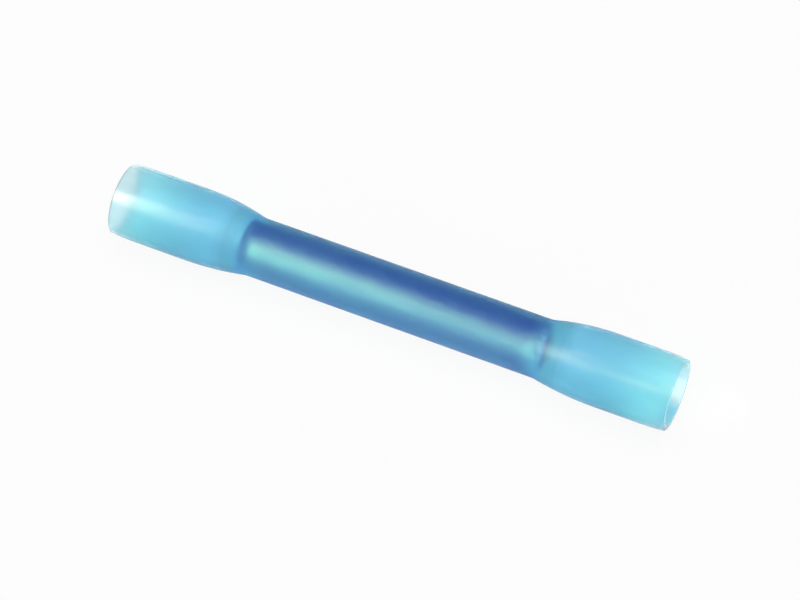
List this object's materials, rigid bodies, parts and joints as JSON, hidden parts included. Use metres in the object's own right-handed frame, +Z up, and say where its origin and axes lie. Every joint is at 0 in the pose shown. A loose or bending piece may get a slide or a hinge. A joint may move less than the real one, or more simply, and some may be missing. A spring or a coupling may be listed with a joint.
{
  "type": "heat-shrink butt splice connector",
  "caption": "Translucent blue heat-shrink sleeve with wide open ends, shrunk over a tinned copper crimp barrel that joins wires end to end.",
  "frame": {"origin": "on the surface the connector lies on, below the middle of its length", "axes": "+X along the connector towards its right mouth, +Z up, thick side of the sleeve down"},
  "size_m": [0.04, 0.005, 0.005],
  "materials": {
    "translucent_blue_nylon": "extruded and shrunk, translucent, satin",
    "tinned_copper": "drawn tube, tin plated, satin"
  },
  "bodies": {
    "root": {"heat_shrink_sleeve": "translucent_blue_nylon", "crimp_barrel": "tinned_copper"}
  },
  "joints": []
}
